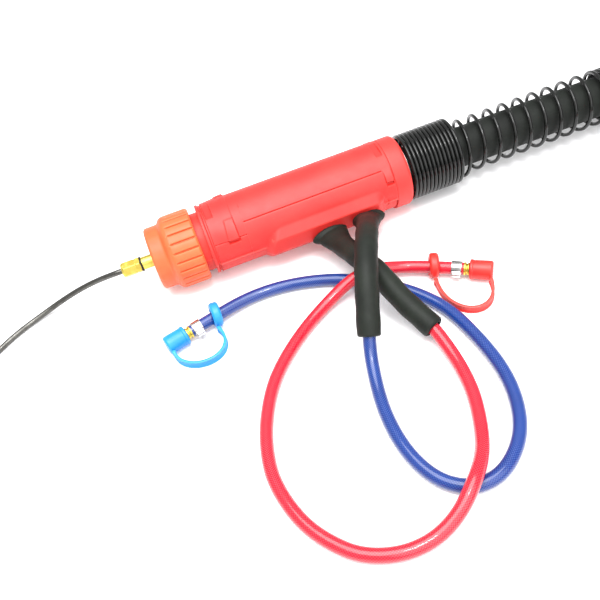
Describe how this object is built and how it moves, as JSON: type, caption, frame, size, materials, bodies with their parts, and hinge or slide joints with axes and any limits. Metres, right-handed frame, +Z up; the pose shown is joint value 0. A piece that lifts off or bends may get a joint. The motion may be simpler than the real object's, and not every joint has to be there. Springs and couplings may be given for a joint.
{
  "type": "liquid-cooled welding torch",
  "caption": "Liquid-cooled welding torch: round plug with ribbed nut and wire liner, red housing, spring-supported cable, braided coolant hoses with tethered caps, and a swan-neck handpiece.",
  "frame": {"origin": "on the central pin's axis, in the plane of the plug nut's open mouth", "axes": "-X out of the plug towards the machine socket, +X along the cable, +Z up from the surface the torch lies on, hoses on the -Y side"},
  "size_m": [0.9578, 0.5138, 0.0587],
  "materials": {
    "nut_plastic": "satin moulded plastic, orange-red",
    "housing_plastic": "semi-gloss moulded plastic, signal red",
    "black_plastic": "moulded, matt",
    "black_rubber": "matt moulded rubber",
    "cable_rubber": "matt extruded rubber jacket",
    "spring_black": "glossy black coated spring wire",
    "liner_steel": "close-wound steel wire",
    "bright_steel": "zinc plated",
    "brass": "turned, satin",
    "copper": "turned copper alloy",
    "nozzle_chrome": "nickel plated",
    "insulator": "glass-filled resin",
    "neck_cover": "smooth insulating cover",
    "hose_red": "clear-coated braided hose, crimson",
    "hose_blue": "clear-coated braided hose, royal blue",
    "cap_red": "soft satin plastic",
    "cap_blue": "soft satin plastic",
    "tie_fabric": "woven hook-and-loop tape"
  },
  "bodies": {
    "root": {"plug_insulator": "black_plastic", "plug_block": "brass", "central_pin": "brass", "pin_oring": "black_rubber", "liner_seal": "black_rubber", "wire_liner": "liner_steel", "nut_circlip": "bright_steel", "plug_collar": "housing_plastic", "housing_cover": "housing_plastic", "housing_tub": "housing_plastic", "housing_screws": "bright_steel", "rear_collar": "housing_plastic", "core_cable": "black_rubber", "gas_tube": "black_rubber", "control_lead": "black_rubber", "coolant_block": "brass", "cable_clamp": "bright_steel", "cable_spring": "spring_black", "cable_jacket": "cable_rubber", "cable_coil": "cable_rubber", "coil_ties": "tie_fabric", "cable_lead": "cable_rubber", "boot_red": "black_rubber", "boot_blue": "black_rubber", "hose_red": "hose_red", "hose_blue": "hose_blue", "clamp_red": "bright_steel", "clamp_blue": "bright_steel", "coupling_red": "brass", "coupling_blue": "brass", "handle_sleeve": "black_rubber", "handle_upper": "housing_plastic", "handle_lower": "housing_plastic", "handle_screws": "bright_steel", "trigger_switch": "black_plastic", "swan_neck": "neck_cover", "neck_nut": "brass", "neck_insulator": "insulator", "tip_holder": "brass"},
    "plug_nut": {"plug_nut": "nut_plastic"},
    "liner_nut": {"liner_nut": "brass"},
    "contact_near": {"contact_pin_near": "brass"},
    "contact_far": {"contact_pin_far": "brass"},
    "red_cap": {"cap_red": "cap_red", "strap_red": "cap_red"},
    "blue_cap": {"cap_blue": "cap_blue", "strap_blue": "cap_blue"},
    "trigger": {"trigger": "black_plastic"},
    "contact_tip": {"contact_tip": "copper"},
    "gas_nozzle": {"gas_nozzle": "nozzle_chrome"}
  },
  "joints": [
    {"name": "plug_nut_spin", "type": "hinge", "parent": "root", "child": "plug_nut", "pos_m": [0.02, 0, 0], "axis": [1, 0, 0], "continuous": true},
    {"name": "liner_nut_spin", "type": "hinge", "parent": "root", "child": "liner_nut", "pos_m": [-0.018, 0, 0], "axis": [1, 0, 0], "continuous": true},
    {"name": "contact_near_press", "type": "slide", "parent": "root", "child": "contact_near", "axis": [1, 0, 0], "range_m": [0, 0.003], "stiffness_N_per_m": 400, "springref_m": -0.002},
    {"name": "contact_far_press", "type": "slide", "parent": "root", "child": "contact_far", "axis": [1, 0, 0], "range_m": [0, 0.003], "stiffness_N_per_m": 400, "springref_m": -0.002},
    {"name": "red_cap_pull", "type": "slide", "parent": "root", "child": "red_cap", "axis": [0.8387, -0.5446, 0], "range_m": [0, 0.014], "deforming": ["strap_red"]},
    {"name": "blue_cap_pull", "type": "slide", "parent": "root", "child": "blue_cap", "axis": [-0.9659, -0.2588, 0], "range_m": [0, 0.014], "deforming": ["strap_blue"]},
    {"name": "trigger_press", "type": "hinge", "parent": "root", "child": "trigger", "pos_m": [0.318, -0.409, -0.0085], "axis": [0, 0, 1], "range_deg": [0, 2.4], "stiffness_Nm_per_rad": 0.5, "springref_deg": -5.73},
    {"name": "contact_tip_screw", "type": "hinge", "parent": "root", "child": "contact_tip", "pos_m": [0.1796, -0.45454, -0.0085], "axis": [-0.6428, -0.766, 0], "continuous": true},
    {"name": "gas_nozzle_pull", "type": "slide", "parent": "root", "child": "gas_nozzle", "axis": [-0.6428, -0.766, 0], "range_m": [0, 0.06]}
  ]
}
